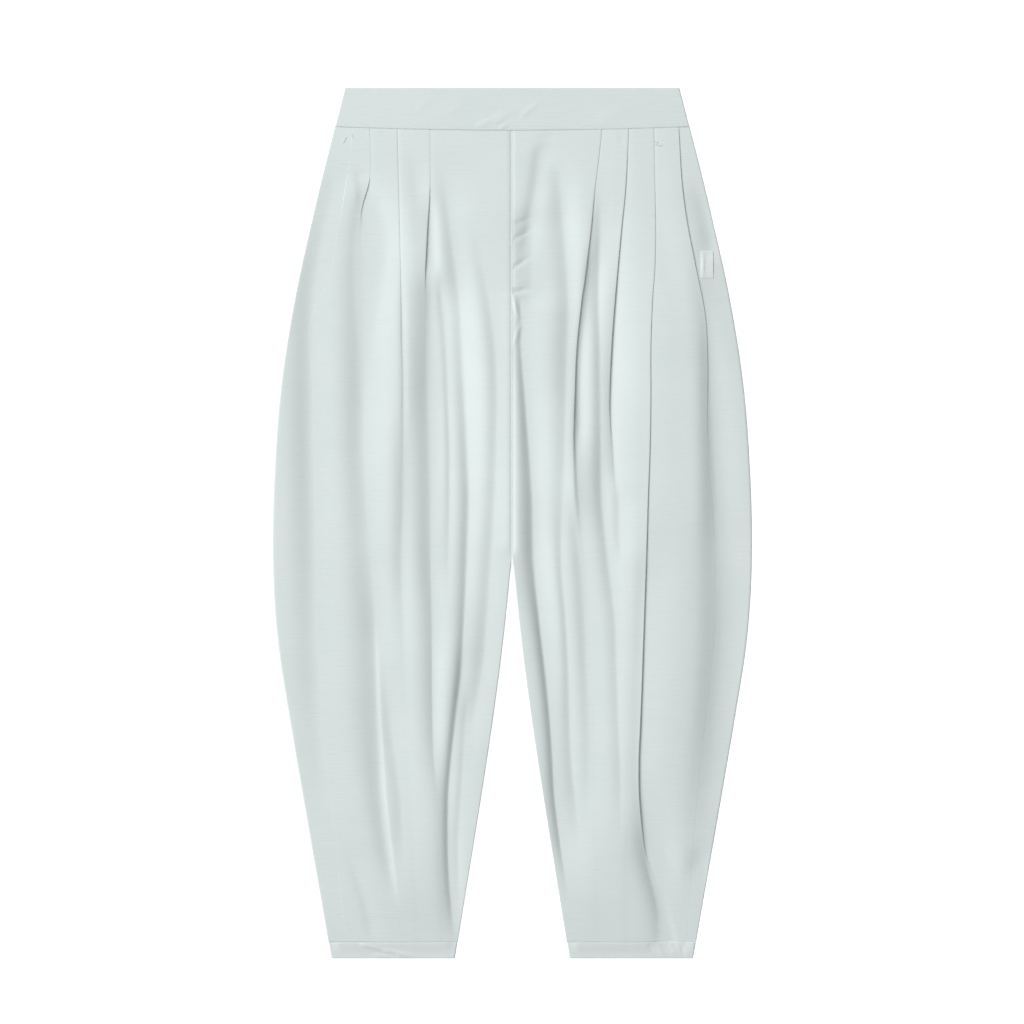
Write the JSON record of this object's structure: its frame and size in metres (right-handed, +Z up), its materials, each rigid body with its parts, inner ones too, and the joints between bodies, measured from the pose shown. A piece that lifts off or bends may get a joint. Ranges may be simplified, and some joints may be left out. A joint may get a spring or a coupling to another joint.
{
  "type": "harem trousers",
  "caption": "Barrel-leg harem trousers laid flat, with a knife-pleated front, side pockets, straight waistband and narrow turned-up hems.",
  "frame": {"origin": "on the surface that the trousers lie on, under the middle of their outline", "axes": "+X to the right as seen from above, +Y from the hems to the waist, +Z up out of the front of the garment"},
  "size_m": [0.528, 0.957, 0.0168],
  "materials": {
    "cloth": "pale mint-grey slubbed plain weave with a soft satin sheen",
    "label": "off-white woven ribbon, blank"
  },
  "bodies": {
    "root": {"front_left": "cloth", "front_right": "cloth", "back_left": "cloth", "back_right": "cloth", "hem_front_left": "cloth", "hem_front_right": "cloth", "hem_back_left": "cloth", "hem_back_right": "cloth", "waistband_front": "cloth", "waistband_back": "cloth", "side_label": "label"}
  },
  "joints": []
}
